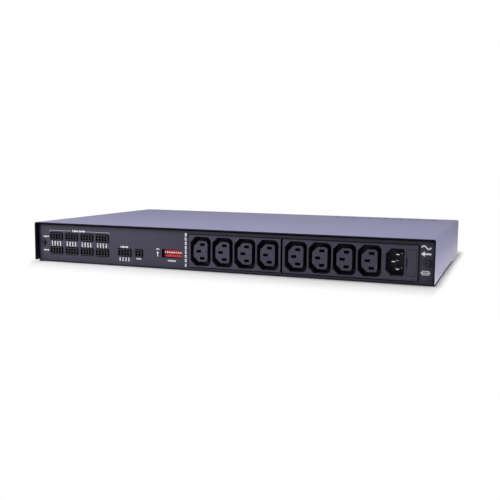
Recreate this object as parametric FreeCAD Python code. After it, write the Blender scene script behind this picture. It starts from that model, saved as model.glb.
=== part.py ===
"""Rack power distribution unit: a one-unit-high folded sheet box with eight switched outlets,
a fused inlet, rows of pluggable control headers and a bank of setting switches.

Millimetres. X runs to the right along the connector panel, Y away from it, Z up.
The origin is the centre of the footprint, on the surface that the box stands on.
"""
import FreeCAD, Part
import math
import os

V = FreeCAD.Vector
TOUCH = 1e-6             # lengths that differ by less than this are equal
SAME_PLACE = 1e-4        # edges nearer than this to a place lie on it

# Folded box
SHEET = 1.2              # steel sheet of the cover and the tray
BEND = 0.8               # inside radius of every fold
COVER_PLAY = 0.5         # between the tray's ends and the cover's side walls
HEAD_PLAY = 1.4          # between the tray's walls and the cover's top
DEPTH = 264.0            # overall, front to back
LIP = 5.3                # cover ahead of the connector panel
FAR_LIP = 2.6            # cover past the far wall
WING_LENGTH = 198.0      # stretch of the base that shows under the side walls
WING_PLAY = 0.4          # between the end of that stretch and the deeper side wall
WING_GAP = 0.8           # open line between that stretch and the side walls above it

# Tabs inside the cover that the case screws draw up to
TAB_PLAY = 0.5           # to the flange of the moulding
TAB_FOOT = 14.0          # welded along the side wall
TAB_HEIGHT = 19.0

# Vent field in the cover's top
VENT_COLUMNS = 13
VENT_ROWS = 2
VENT_LENGTH = 7.2
VENT_WIDTH = 5.4
VENT_CLIP = 1.3          # cut off each corner of a slot
VENT_PITCH = 10.0
VENT_ROW_PITCH = 7.0
VENT_FROM_FAR = 24.0     # middle of the field to the far edge of the cover
VENT_FROM_SIDE = 26.0    # centre of the last slot to the side of the cover

# Screws
SCREW_R = 1.5
SCREW_LENGTH = 6.0
SCREW_HOLE_PLAY = 0.2
SCREW_HEAD_R = 2.9
SCREW_HEAD_H = 1.9
SCREW_RECESS = 3.2       # tip to tip of the cross
SCREW_RECESS_W = 0.8
SCREW_RECESS_D = 1.1
SCREW_INSET = 6.0        # case screw to the end of the panel
SCREW_Z = 21.3

# Panel, left to right
LEFT_BLANK = 14.2        # end of the panel to the first header cut-out
COLUMN_GAP = 2.2         # between header cut-outs
GROUP_GAP = 10.4         # header rows to the single header
PAIR_GAP = 3.6           # single header to the two-way header
SWITCH_GAP = 22.1        # two-way header to the switch bank
OPENING_GAP = 6.9        # switch bank to the outlet opening
RIGHT_BLANK = 13.05      # outlet opening to the end of the panel

# Pluggable headers
HEADER_COLUMNS = 4
HEADER_WAYS = 4
PAIR_WAYS = 2
HEADER_PITCH = 3.5
HEADER_ENDS = 4.9        # body length past the outer pins, both ends together
HEADER_H = 7.0
HEADER_LENGTH = 10.0
HEADER_PROUD = 1.5
HEADER_WALL = 0.7
HEADER_CELL_W = 2.6      # of the cell round each pin
HEADER_DEPTH = 7.6       # of the cells
HEADER_PLAY = 0.8        # body to cut-out
HEADER_CLIP = 1.0        # cut off each corner of a cut-out
HEADER_PIN = 1.0
HEADER_PIN_BACK = 0.8    # pin tips behind the header's face
LOWER_ROW_Z = 13.15
ROW_PITCH = 15.35
SINGLE_Z = 14.8

# Bank of slide switches
SWITCH_WAYS = 8
SWITCH_PITCH = 2.54
SWITCH_ENDS = 1.58
SWITCH_H = 7.7
SWITCH_TALL = 5.0        # off its board
SWITCH_PLAY = 0.65       # body to cut-out
SWITCH_Z = 16.4
KNOB_W = 1.4
KNOB_H = 1.4
KNOB_PROUD = 0.5
KNOB_DEEP = 1.4          # below the switch's face
KNOB_PLAY = 0.15
KNOB_TRAVEL = 1.8

# Outlet mouldings
STRIP_FOOT = 4.2         # under side of the box to the mouldings
STRIP_BORDER = 1.45      # above and below the outlet moats
STRIP_END = 2.2          # past the end moats
STRIP_HEADROOM = 6.5     # mouldings to the top of the box
STRIP_PROUD = 1.3
STRIP_DEEP = 21.0        # behind the panel's face
STRIP_SPLIT = 2.05       # between the two mouldings
OPENING_PLAY = 1.1
FLANGE_LAP = 1.0         # flange on the back of the panel
FLANGE = 2.0
OUTLETS_EACH = 4
CORE_W = 15.0
CORE_H = 21.3
CORE_CHAMFER = 5.4
CORE_ROUND = 3.0
MOAT_SIDE = 3.75         # beside the core
MOAT_END = 4.4           # above and below the core
MOAT_DEPTH = 16.0
MOAT_CHAMFER = 5.6
MOAT_ROUND = 5.4
OUTLET_RIB = 1.5         # between neighbouring moats
POLE_SPREAD = 7.0        # live and neutral, above and below the middle
POLE_X = 2.0             # live and neutral, right of the middle
EARTH_X = -2.0           # earth, left of the middle
SLOT_W = 5.2
SLOT_H = 2.8
SLOT_WALL = 3.0          # face in front of the contact chamber
CHAMBER_W = 5.6
CHAMBER_H = 4.0

# Contacts and bars behind the mouldings
BAR = 0.8
BAR_H = 3.0
LEAF = 0.4
LEAF_W = 4.0
GRIP = 1.6               # between the two leaves of a contact
LEAF_BACK = 4.0          # leaf tips behind the slot wall
TAIL_W = 2.5
SHORT_TAIL = 2.5         # bars and pins, back from the moulding
LONG_TAIL = 6.0          # live contacts, back from the moulding
SEAT_LAP = 1.0           # contact plate past its chamber

# Inlet and fuse drawer
INLET_W = 17.5
INLET_H = 25.7
INLET_CHAMFER = 5.2
INLET_ROUND = 2.5
INLET_DEPTH = 17.0
INLET_RIB = 3.7          # last moat to the inlet
PIN_W = 4.0
PIN_H = 2.0
PIN_BACK = 3.5           # pin tips behind the moulding's face
PIN_TIP = 0.7
DRAWER_RIB = 1.6         # inlet to the drawer bay
BAY_W = 9.4
BAY_H = 24.8
BAY_WALL = 1.3           # drawer bay to the end of the moulding
DRAWER_PLAY = 0.25
DRAWER_FACE = 1.6
DRAWER_LENGTH = 14.0
DRAWER_WALL = 0.8
NOTCH_H = 8.0            # finger notch beside the inlet
NOTCH_W = 1.2
NOTCH_D = 0.8
FUSE_LENGTH = 20.0
FUSE_R = 2.3
CAP_R = 2.6
CAP_LENGTH = 5.0
CAP_END = 0.5
FUSE_BACK = 8.0          # fuse axis behind the moulding's face
SADDLE_H = 5.0
CLIP_H = 4.0
CLIP_FROM_END = 2.5      # middle of a clip to the end of the fuse
CLIP_PLAY = 0.3
CLIP_AHEAD = 1.5         # clip arms ahead of the fuse axis

# Boards
BOARD = 1.6
BOARD_PLAY = 0.3
BOARD_EDGE = 6.0         # terminal board past the cut-outs
STANDOFF_R = 3.0
STANDOFF_H = 6.0
STANDOFF_INSET = 6.0
BOARD_DEPTH = 120.0      # main board, back from the terminal board
BRACKET_W = 10.0
BRACKET_PAST = 5.0       # upright above its screw
BRACKET_FOOT = 9.0

# Parts on the boards
LINK_WAYS = 12
LINK_PITCH = 2.54
LINK_SIDE = 2.5
LINK_PIN = 0.64
LINK_REACH = 1.6         # link pins past their strip
RELAY_W = 13.0
RELAY_L = 29.0
RELAY_H = 16.0
RELAY_BACK = 12.0        # behind the mouldings
CASE_EDGE = 1.0          # bevel round the top of a relay or supply
SUPPLY_W = 52.0
SUPPLY_L = 28.0
SUPPLY_H = 22.0
SUPPLY_BACK = 40.0       # behind the terminal board
CHIP_SIDE = 14.0
CHIP_H = 1.6
CHIP_BACK = 12.0         # behind the terminal board

# Earth stud in the base
STUD_R = 2.0
STUD_H = 9.0
NUT_R = 4.0
NUT_H = 3.2
STRAP_W = 8.0
STRAP_FOOT = 14.0
STRAP_PAST = 3.0         # strap past the end of the moulding


# Sizes that follow from the ones above
def header_width(ways):
    return (ways - 1) * HEADER_PITCH + HEADER_ENDS


HEADER_CUT_W = header_width(HEADER_WAYS) + 2 * HEADER_PLAY
PAIR_CUT_W = header_width(PAIR_WAYS) + 2 * HEADER_PLAY
HEADER_CUT_H = HEADER_H + 2 * HEADER_PLAY
SWITCH_W = SWITCH_WAYS * SWITCH_PITCH + SWITCH_ENDS
SWITCH_CUT_W = SWITCH_W + 2 * SWITCH_PLAY
SWITCH_CUT_H = SWITCH_H + 2 * SWITCH_PLAY
MOAT_W = CORE_W + 2 * MOAT_SIDE
MOAT_H = CORE_H + 2 * MOAT_END
OUTLET_PITCH = MOAT_W + OUTLET_RIB
OUTLET_ROW = (OUTLETS_EACH - 1) * OUTLET_PITCH + MOAT_W
STRIP_ONE_W = OUTLET_ROW + 2 * STRIP_END
STRIP_TWO_W = STRIP_END + OUTLET_ROW + INLET_RIB + INLET_W + DRAWER_RIB + BAY_W + BAY_WALL
OPENING_W = STRIP_ONE_W + STRIP_SPLIT + STRIP_TWO_W + 2 * OPENING_PLAY
HEADER_ROW_W = HEADER_COLUMNS * (HEADER_CUT_W + COLUMN_GAP) - COLUMN_GAP
PANEL_W = (LEFT_BLANK + HEADER_ROW_W + GROUP_GAP + HEADER_CUT_W + PAIR_GAP + PAIR_CUT_W
           + SWITCH_GAP + SWITCH_CUT_W + OPENING_GAP + OPENING_W + RIGHT_BLANK)
STRIP_H = MOAT_H + 2 * STRIP_BORDER
CLIP_SPREAD = FUSE_LENGTH / 2 - CLIP_FROM_END
TAB_REACH = COVER_PLAY + RIGHT_BLANK - FLANGE_LAP - TAB_PLAY
WIDTH = PANEL_W + 2 * (COVER_PLAY + SHEET)
HEIGHT = STRIP_FOOT + STRIP_H + STRIP_HEADROOM
PANEL_TOP = HEIGHT - SHEET - HEAD_PLAY

# Places along X
PANEL_LEFT = -PANEL_W / 2
PANEL_RIGHT = PANEL_W / 2
FIRST_COLUMN = PANEL_LEFT + LEFT_BLANK + HEADER_CUT_W / 2
COLUMN_X = [FIRST_COLUMN + i * (HEADER_CUT_W + COLUMN_GAP) for i in range(HEADER_COLUMNS)]
SINGLE_X = COLUMN_X[-1] + HEADER_CUT_W / 2 + GROUP_GAP + HEADER_CUT_W / 2
PAIR_X = SINGLE_X + HEADER_CUT_W / 2 + PAIR_GAP + PAIR_CUT_W / 2
SWITCH_X = PAIR_X + PAIR_CUT_W / 2 + SWITCH_GAP + SWITCH_CUT_W / 2
OPENING_LEFT = SWITCH_X + SWITCH_CUT_W / 2 + OPENING_GAP
STRIP_ONE_X = OPENING_LEFT + OPENING_PLAY
STRIP_TWO_X = STRIP_ONE_X + STRIP_ONE_W + STRIP_SPLIT
STRIP_TWO_END = STRIP_TWO_X + STRIP_TWO_W
OUTLET_ONE = [STRIP_ONE_X + STRIP_END + MOAT_W / 2 + i * OUTLET_PITCH for i in range(OUTLETS_EACH)]
OUTLET_TWO = [STRIP_TWO_X + STRIP_END + MOAT_W / 2 + i * OUTLET_PITCH for i in range(OUTLETS_EACH)]
INLET_X = OUTLET_TWO[-1] + MOAT_W / 2 + INLET_RIB + INLET_W / 2
DRAWER_X = INLET_X + INLET_W / 2 + DRAWER_RIB + BAY_W / 2
BOARD_LEFT = COLUMN_X[0] - HEADER_CUT_W / 2 - BOARD_EDGE
BOARD_RIGHT = SWITCH_X + SWITCH_CUT_W / 2 + BOARD_EDGE - OPENING_PLAY - FLANGE_LAP
LINK_X = SINGLE_X

# Places along Y
COVER_NEAR = -DEPTH / 2
COVER_FAR = DEPTH / 2
PANEL_FACE = COVER_NEAR + LIP
FAR_FACE = COVER_FAR - FAR_LIP
STRIP_FACE = PANEL_FACE - STRIP_PROUD
STRIP_BACK = PANEL_FACE + STRIP_DEEP
BOARD_FACE = PANEL_FACE + HEADER_LENGTH - HEADER_PROUD
BOARD_BACK = BOARD_FACE + BOARD
SWITCH_FACE = BOARD_FACE - SWITCH_TALL
WING_START = PANEL_FACE + SHEET + BEND
WING_END = WING_START + WING_LENGTH
FUSE_Y = STRIP_FACE + FUSE_BACK
MAIN_NEAR = BOARD_BACK + BOARD_PLAY
MAIN_STEP = STRIP_BACK + BAR + BOARD_PLAY
MAIN_FAR = MAIN_NEAR + BOARD_DEPTH

# Places along Z
STRIP_TOP = STRIP_FOOT + STRIP_H
OUTLET_Z = STRIP_FOOT + STRIP_H / 2
LIVE_Z = OUTLET_Z + POLE_SPREAD
NEUTRAL_Z = OUTLET_Z - POLE_SPREAD
UPPER_ROW_Z = LOWER_ROW_Z + ROW_PITCH
BRACKET_SCREW_Z = (LOWER_ROW_Z + UPPER_ROW_Z) / 2
MAIN_UNDER = SHEET + STANDOFF_H
MAIN_TOP = MAIN_UNDER + BOARD
BOARD_LOW = LOWER_ROW_Z - HEADER_CUT_H / 2 - BOARD_EDGE
BOARD_HIGH = UPPER_ROW_Z + HEADER_CUT_H / 2 + BOARD_EDGE


def block(x0, x1, y0, y1, z0, z1):
    """A box between two corners."""
    return Part.makeBox(x1 - x0, y1 - y0, z1 - z0, V(x0, y0, z0))


def bar_block(x, width, y0, y1, z, height):
    """A box centred on x and z, from y0 to y1."""
    return block(x - width / 2, x + width / 2, y0, y1, z - height / 2, z + height / 2)


def joined(shapes):
    """One solid from pieces that share faces."""
    return shapes[0].multiFuse(shapes[1:]).removeSplitter()


def corner_arc(start, corner, end, radius):
    """A quarter round from start to end, tangent to both sides of a square corner."""
    centre = start + end - corner
    middle = centre + (corner - centre).normalize() * radius
    return Part.Arc(start, middle, end).toShape()


def keyed_prism(x, z, width, height, chamfer, radius, y0, y1):
    """A prism along Y: chamfered on the earth side, rounded on the other side."""
    left, right = x - width / 2, x + width / 2
    low, high = z - height / 2, z + height / 2
    a = V(left + chamfer, y0, low)
    b = V(right - radius, y0, low)
    c = V(right, y0, low + radius)
    d = V(right, y0, high - radius)
    e = V(right - radius, y0, high)
    f = V(left + chamfer, y0, high)
    g = V(left, y0, high - chamfer)
    h = V(left, y0, low + chamfer)
    lower = corner_arc(b, V(right, y0, low), c, radius)
    upper = corner_arc(d, V(right, y0, high), e, radius)
    sides = [Part.makeLine(p, q) for p, q in ((a, b), (c, d), (e, f), (f, g), (g, h), (h, a))]
    wire = Part.Wire(Part.__sortEdges__(sides + [lower, upper]))
    return Part.Face(wire).extrude(V(0, y1 - y0, 0))


def straight_edges(shape, axis):
    """Straight edges of a shape along an axis."""
    found = []
    for edge in shape.Edges:
        box = edge.BoundBox
        if box.DiagonalLength - (box.XLength, box.YLength, box.ZLength)[axis] < TOUCH:
            found.append(edge)
    return found


def edges_along(shape, axis, places):
    """Straight edges along an axis whose other two coordinates match one of the places."""
    others = [i for i in range(3) if i != axis]
    found = []
    for edge in straight_edges(shape, axis):
        here = [edge.CenterOfMass[i] for i in others]
        if any(math.dist(here, place) < SAME_PLACE for place in places):
            found.append(edge)
    return found


def clipped_block(shape, axis, clip):
    """A box with its four corners along an axis cut off."""
    return shape.makeChamfer(clip, straight_edges(shape, axis))


def header_cut(x, z, ways):
    """A cut-out through the connector panel, round a header."""
    width = header_width(ways) + 2 * HEADER_PLAY
    cut = bar_block(x, width, PANEL_FACE - SHEET, PANEL_FACE + 2 * SHEET, z, HEADER_CUT_H)
    return clipped_block(cut, 1, HEADER_CLIP)


def rod(radius, length, start, direction):
    return Part.makeCylinder(radius, length, start, direction)


def hexagon(radius, height, base):
    """A six-sided prism along Z, by the radius to its corners."""
    angles = [math.radians(60 * i) for i in range(7)]
    corners = [base + V(radius * math.cos(a), radius * math.sin(a), 0) for a in angles]
    return Part.Face(Part.makePolygon(corners)).extrude(V(0, 0, height))


def driven(head, seat, direction):
    """A screw made of a head on a shank: the head lies on the seat, the shank runs along direction."""
    whole = head.fuse(rod(SCREW_R, SCREW_LENGTH, V(0, 0, 0), V(0, 0, -1)))
    whole.Placement = FreeCAD.Placement(seat, FreeCAD.Rotation(V(0, 0, -1), direction))
    return whole


def case_screw(seat, direction):
    """A round-headed screw with a cross recess."""
    head = rod(SCREW_HEAD_R, SCREW_HEAD_H, V(0, 0, 0), V(0, 0, 1))
    half, thin = SCREW_RECESS / 2, SCREW_RECESS_W / 2
    floor = SCREW_HEAD_H - SCREW_RECESS_D
    cross = joined([block(-half, half, -thin, thin, floor, SCREW_HEAD_H),
                    block(-thin, thin, -half, half, floor, SCREW_HEAD_H)])
    return driven(head.cut(cross), seat, direction)


def board_screw(seat, direction):
    """A six-sided screw."""
    return driven(hexagon(SCREW_HEAD_R, SCREW_HEAD_H, V(0, 0, 0)), seat, direction)


def header_places():
    """Name, centre and ways of each header on the panel."""
    rows = [(x, z, HEADER_WAYS) for z in (UPPER_ROW_Z, LOWER_ROW_Z) for x in COLUMN_X]
    places = [(f"bus_header_{i + 1}", x, z, ways) for i, (x, z, ways) in enumerate(rows)]
    places.append(("control_header", SINGLE_X, SINGLE_Z, HEADER_WAYS))
    places.append(("sensor_header", PAIR_X, SINGLE_Z, PAIR_WAYS))
    return places


def case_screw_places():
    """Seat and driving direction of the four case screws."""
    places = []
    for x in (PANEL_LEFT + SCREW_INSET, PANEL_RIGHT - SCREW_INSET):
        places.append((V(x, PANEL_FACE, SCREW_Z), V(0, 1, 0)))
        places.append((V(x, FAR_FACE, SCREW_Z), V(0, -1, 0)))
    return places


def chassis_tray():
    """Base, connector panel and far wall, folded from one sheet."""
    tray = block(PANEL_LEFT, PANEL_RIGHT, PANEL_FACE, FAR_FACE, 0, PANEL_TOP)
    tray = tray.makeFillet(BEND + SHEET, edges_along(tray, 0, [(PANEL_FACE, 0), (FAR_FACE, 0)]))
    near, far = PANEL_FACE + SHEET, FAR_FACE - SHEET
    room = block(PANEL_LEFT - SHEET, PANEL_RIGHT + SHEET, near, far, SHEET, PANEL_TOP + SHEET)
    room = room.makeFillet(BEND, edges_along(room, 0, [(near, SHEET), (far, SHEET)]))
    wings = block(-WIDTH / 2, WIDTH / 2, WING_START, WING_END, 0, SHEET)
    tray = joined([tray.cut(room), wings])
    cuts = []
    cuts += [header_cut(x, z, ways) for _, x, z, ways in header_places()]
    cuts.append(bar_block(SWITCH_X, SWITCH_CUT_W, PANEL_FACE - SHEET, near + SHEET, SWITCH_Z, SWITCH_CUT_H))
    opening_z = (STRIP_FOOT - OPENING_PLAY, STRIP_TOP + OPENING_PLAY)
    cuts.append(block(OPENING_LEFT, OPENING_LEFT + OPENING_W, PANEL_FACE - SHEET, near + SHEET, *opening_z))
    for seat, direction in case_screw_places():
        cuts.append(rod(SCREW_R + SCREW_HOLE_PLAY, SHEET * 3, seat - direction * SHEET, direction))
    return tray.cut(cuts)


def cover_tab(side, wall, inward):
    """An angle on the inside of a side wall, against the tray's wall at y = wall."""
    outer = side * (WIDTH / 2 - SHEET)
    inner = outer - side * TAB_REACH
    low, high = SCREW_Z - TAB_HEIGHT / 2, SCREW_Z + TAB_HEIGHT / 2
    leaf = block(min(inner, outer), max(inner, outer), min(wall, wall + inward * SHEET),
                 max(wall, wall + inward * SHEET), low, high)
    foot_x = outer - side * SHEET
    foot = block(min(foot_x, outer), max(foot_x, outer), min(wall, wall + inward * TAB_FOOT),
                 max(wall, wall + inward * TAB_FOOT), low, high)
    return leaf.fuse(foot)


def vent_slot(x, y):
    """A slot through the top, along X, with its corners cut off."""
    slot = block(x - VENT_LENGTH / 2, x + VENT_LENGTH / 2, y - VENT_WIDTH / 2, y + VENT_WIDTH / 2,
                 HEIGHT - 2 * SHEET, HEIGHT + SHEET)
    return clipped_block(slot, 2, VENT_CLIP)


def top_cover():
    """Top and both side walls, folded from one sheet, with tabs for the case screws."""
    half = WIDTH / 2
    shell = block(-half, half, COVER_NEAR, COVER_FAR, 0, HEIGHT)
    shell = shell.makeFillet(BEND + SHEET, edges_along(shell, 1, [(-half, HEIGHT), (half, HEIGHT)]))
    under, inside = HEIGHT - SHEET, half - SHEET
    room = block(-inside, inside, COVER_NEAR - SHEET, COVER_FAR + SHEET, -SHEET, under)
    room = room.makeFillet(BEND, edges_along(room, 1, [(-inside, under), (inside, under)]))
    relief = block(-half - SHEET, half + SHEET, COVER_NEAR - SHEET, WING_END + WING_PLAY,
                   -SHEET, SHEET + WING_GAP)
    shell = shell.cut([room, relief])
    tabs = []
    for side in (-1, 1):
        tabs.append(cover_tab(side, PANEL_FACE + SHEET, 1))
        tabs.append(cover_tab(side, FAR_FACE - SHEET, -1))
    shell = joined([shell] + tabs)
    holes = [rod(SCREW_R, SHEET * 4, seat, direction) for seat, direction in case_screw_places()]
    slots = []
    for column in range(VENT_COLUMNS):
        for row in range(VENT_ROWS):
            x = half - VENT_FROM_SIDE - column * VENT_PITCH
            y = COVER_FAR - VENT_FROM_FAR + (row - (VENT_ROWS - 1) / 2) * VENT_ROW_PITCH
            slots.append(vent_slot(x, y))
    return shell.cut(holes + slots)


def outlet_cuts(x):
    """The moat, slots and contact chambers of one outlet."""
    depth = STRIP_FACE + MOAT_DEPTH
    moat = keyed_prism(x, OUTLET_Z, MOAT_W, MOAT_H, MOAT_CHAMFER, MOAT_ROUND, STRIP_FACE, depth)
    core = keyed_prism(x, OUTLET_Z, CORE_W, CORE_H, CORE_CHAMFER, CORE_ROUND, STRIP_FACE, depth)
    cuts = [moat.cut(core)]
    for dx, z in ((POLE_X, LIVE_Z), (POLE_X, NEUTRAL_Z), (EARTH_X, OUTLET_Z)):
        chamber = STRIP_FACE + SLOT_WALL
        cuts.append(bar_block(x + dx, SLOT_W, STRIP_FACE, chamber, z, SLOT_H))
        cuts.append(bar_block(x + dx, CHAMBER_W, chamber, STRIP_BACK, z, CHAMBER_H))
    return cuts


def moulding(left, right, flange_left, flange_right, outlets):
    """A moulding that stands through the panel, held by a flange behind it."""
    lap = OPENING_PLAY + FLANGE_LAP
    body = block(left, right, STRIP_FACE, STRIP_BACK, STRIP_FOOT, STRIP_TOP)
    seat = PANEL_FACE + SHEET
    flange = block(left - lap * flange_left, right + lap * flange_right, seat, seat + FLANGE,
                   STRIP_FOOT - lap, STRIP_TOP + lap)
    cuts = []
    for x in outlets:
        cuts += outlet_cuts(x)
    return joined([body, flange]).cut(cuts)


def outlet_strip():
    return moulding(STRIP_ONE_X, STRIP_ONE_X + STRIP_ONE_W, 1, 0, OUTLET_ONE)


def inlet_poles():
    """X and Z of the live, neutral and earth pins."""
    return ((INLET_X + POLE_X, LIVE_Z), (INLET_X + POLE_X, NEUTRAL_Z), (INLET_X + EARTH_X, OUTLET_Z))


def inlet_strip():
    strip = moulding(STRIP_TWO_X, STRIP_TWO_END, 0, 1, OUTLET_TWO)
    recess = keyed_prism(INLET_X, OUTLET_Z, INLET_W, INLET_H, INLET_CHAMFER, INLET_ROUND,
                         STRIP_FACE, STRIP_FACE + INLET_DEPTH)
    holes = [bar_block(x, PIN_W, STRIP_FACE, STRIP_BACK, z, PIN_H) for x, z in inlet_poles()]
    bay = bar_block(DRAWER_X, BAY_W, STRIP_FACE, STRIP_BACK, OUTLET_Z, BAY_H)
    return strip.cut([recess, bay] + holes)


def leaves(x, z):
    """The two leaves of a contact, in their chamber."""
    tip = STRIP_FACE + SLOT_WALL + LEAF_BACK
    away = (GRIP + LEAF) / 2
    return [bar_block(x, LEAF_W, tip, STRIP_BACK + BAR, z + k * away, LEAF) for k in (-1, 1)]


def tail(x, z, reach):
    """A strip from the back of the moulding out and down to the main board."""
    end = STRIP_BACK + reach
    out = bar_block(x, TAIL_W, STRIP_BACK, end, z, BAR)
    down = block(x - TAIL_W / 2, x + TAIL_W / 2, end - BAR, end, MAIN_TOP, z + BAR / 2)
    return [out, down]


def line_contacts():
    """One switched live contact for each outlet."""
    contacts = []
    for x in OUTLET_ONE + OUTLET_TWO:
        plate = bar_block(x + POLE_X, CHAMBER_W + 2 * SEAT_LAP, STRIP_BACK, STRIP_BACK + BAR, LIVE_Z,
                          CHAMBER_H + 2 * SEAT_LAP)
        contacts.append(joined([plate] + leaves(x + POLE_X, LIVE_Z) + tail(x + POLE_X, LIVE_Z, LONG_TAIL)))
    return Part.makeCompound(contacts)


def contact_bar(xs, z, end):
    """A bar along the back of a moulding with a contact for each outlet, up to x = end."""
    start = xs[0] - LEAF_W / 2
    pieces = [block(start, end, STRIP_BACK, STRIP_BACK + BAR, z - BAR_H / 2, z + BAR_H / 2)]
    for x in xs:
        pieces += leaves(x, z)
    return joined(pieces + tail(xs[0], z, SHORT_TAIL))


def neutral_bar(outlets):
    xs = [x + POLE_X for x in outlets]
    return contact_bar(xs, NEUTRAL_Z, xs[-1] + LEAF_W / 2)


def earth_bar_1():
    xs = [x + EARTH_X for x in OUTLET_ONE]
    return contact_bar(xs, OUTLET_Z, xs[-1] + LEAF_W / 2)


def strap_x():
    """Middle of the earth strap's leg, past the end of the moulding."""
    return STRIP_TWO_END + STRAP_PAST + STRAP_W / 2


def earth_bar_2():
    """The second earth bar runs on past the inlet's earth pin and down to the stud in the base."""
    xs = [x + EARTH_X for x in OUTLET_TWO]
    bar = contact_bar(xs, OUTLET_Z, strap_x() + STRAP_W / 2)
    leg = block(strap_x() - STRAP_W / 2, strap_x() + STRAP_W / 2, STRIP_BACK, STRIP_BACK + BAR,
                SHEET, OUTLET_Z + BAR_H / 2)
    foot = block(strap_x() - STRAP_W / 2, strap_x() + STRAP_W / 2, STRIP_BACK, STRIP_BACK + STRAP_FOOT,
                 SHEET, SHEET + BAR)
    hole = rod(STUD_R, BAR * 3, V(strap_x(), stud_y(), SHEET - BAR), V(0, 0, 1))
    return joined([bar, leg, foot]).cut(hole)


def stud_y():
    return STRIP_BACK + STRAP_FOOT - STRAP_W / 2


def earth_stud():
    return rod(STUD_R, STUD_H, V(strap_x(), stud_y(), SHEET), V(0, 0, 1))


def earth_nut():
    under = V(strap_x(), stud_y(), SHEET + BAR)
    return hexagon(NUT_R, NUT_H, under).cut(rod(STUD_R, NUT_H, under, V(0, 0, 1)))


def inlet_pin(x, z):
    """A flat pin with a bevelled tip, from the inlet's mouth to the back of the moulding."""
    tip = STRIP_FACE + PIN_BACK
    pin = bar_block(x, PIN_W, tip, STRIP_BACK, z, PIN_H)
    front = [e for e in pin.Edges if abs(e.BoundBox.YMax - tip) < TOUCH]
    return pin.makeChamfer(PIN_TIP, front)


def inlet_neutral_pin():
    x, z = inlet_poles()[1]
    return joined([inlet_pin(x, z)] + tail(x, z, SHORT_TAIL))


def drawer_half():
    """Half the width and half the height of the fuse drawer."""
    return BAY_W / 2 - DRAWER_PLAY, BAY_H / 2 - DRAWER_PLAY


def fuse_drawer():
    """Drawer face, two side rails, end walls and a saddle for the fuse."""
    half_w, half_h = drawer_half()
    back = STRIP_FACE + DRAWER_LENGTH
    body = bar_block(DRAWER_X, 2 * half_w, STRIP_FACE, back, OUTLET_Z, 2 * half_h)
    room = bar_block(DRAWER_X, 2 * (half_w - DRAWER_WALL), STRIP_FACE + DRAWER_FACE, back, OUTLET_Z,
                     2 * (half_h - DRAWER_WALL))
    saddle = bar_block(DRAWER_X, 2 * half_w, STRIP_FACE, FUSE_Y, OUTLET_Z, SADDLE_H)
    seat = rod(FUSE_R, FUSE_LENGTH, V(DRAWER_X, FUSE_Y, OUTLET_Z - FUSE_LENGTH / 2), V(0, 0, 1))
    notch = block(DRAWER_X - half_w, DRAWER_X - half_w + NOTCH_W, STRIP_FACE, STRIP_FACE + NOTCH_D,
                  OUTLET_Z - NOTCH_H / 2, OUTLET_Z + NOTCH_H / 2)
    return joined([body.cut(room), saddle]).cut([seat, notch])


def fuse_tube():
    low = OUTLET_Z - FUSE_LENGTH / 2 + CAP_END
    return rod(FUSE_R, FUSE_LENGTH - 2 * CAP_END, V(DRAWER_X, FUSE_Y, low), V(0, 0, 1))


def fuse_caps():
    """The two metal caps on the ends of the fuse."""
    caps = []
    for k in (-1, 1):
        end = V(DRAWER_X, FUSE_Y, OUTLET_Z + k * FUSE_LENGTH / 2)
        caps.append(rod(CAP_R, CAP_LENGTH, end, V(0, 0, -k)).cut(fuse_tube()))
    return Part.makeCompound(caps)


def clip_arms(z):
    """Two arms that reach forward on either side of a fuse cap."""
    away = CAP_R + CLIP_PLAY + LEAF / 2
    return [bar_block(DRAWER_X + i * away, LEAF, FUSE_Y - CLIP_AHEAD, STRIP_BACK + BAR, z, CLIP_H)
            for i in (-1, 1)]


def clip_plate(left, z):
    right = DRAWER_X + BAY_W / 2 + BAY_WALL
    return block(left, right, STRIP_BACK, STRIP_BACK + BAR, z - CLIP_H / 2, z + CLIP_H / 2)


def fuse_clip_in():
    """The clip that the inlet's live pin feeds."""
    z = OUTLET_Z + CLIP_SPREAD
    return joined([clip_plate(INLET_X + POLE_X - PIN_W / 2, z)] + clip_arms(z))


def fuse_clip_out():
    """The clip that feeds the main board."""
    z = OUTLET_Z - CLIP_SPREAD
    left = DRAWER_X - BAY_W / 2 - DRAWER_RIB
    return joined([clip_plate(left, z)] + clip_arms(z) + tail(DRAWER_X, z, SHORT_TAIL))


def header(x, z, ways):
    """A moulding with an open-fronted cell round each pin and a closed back."""
    face = PANEL_FACE - HEADER_PROUD
    shell = bar_block(x, header_width(ways), face, BOARD_FACE, z, HEADER_H)
    cuts = []
    for px in pin_places(x, ways):
        cuts.append(bar_block(px, HEADER_CELL_W, face, face + HEADER_DEPTH, z, HEADER_H - 2 * HEADER_WALL))
        cuts.append(bar_block(px, HEADER_PIN, face, BOARD_FACE, z, HEADER_PIN))
    return shell.cut(cuts)


def pin_places(x, ways):
    return [x + (i - (ways - 1) / 2) * HEADER_PITCH for i in range(ways)]


def header_pins():
    """Every pin of every header, from just inside the mouth to the terminal board."""
    tip = PANEL_FACE - HEADER_PROUD + HEADER_PIN_BACK
    pins = []
    for _, x, z, ways in header_places():
        for px in pin_places(x, ways):
            pins.append(bar_block(px, HEADER_PIN, tip, BOARD_FACE, z, HEADER_PIN))
    return Part.makeCompound(pins)


def knob_places():
    first = SWITCH_X - (SWITCH_WAYS - 1) / 2 * SWITCH_PITCH
    return [first + i * SWITCH_PITCH for i in range(SWITCH_WAYS)]


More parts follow.
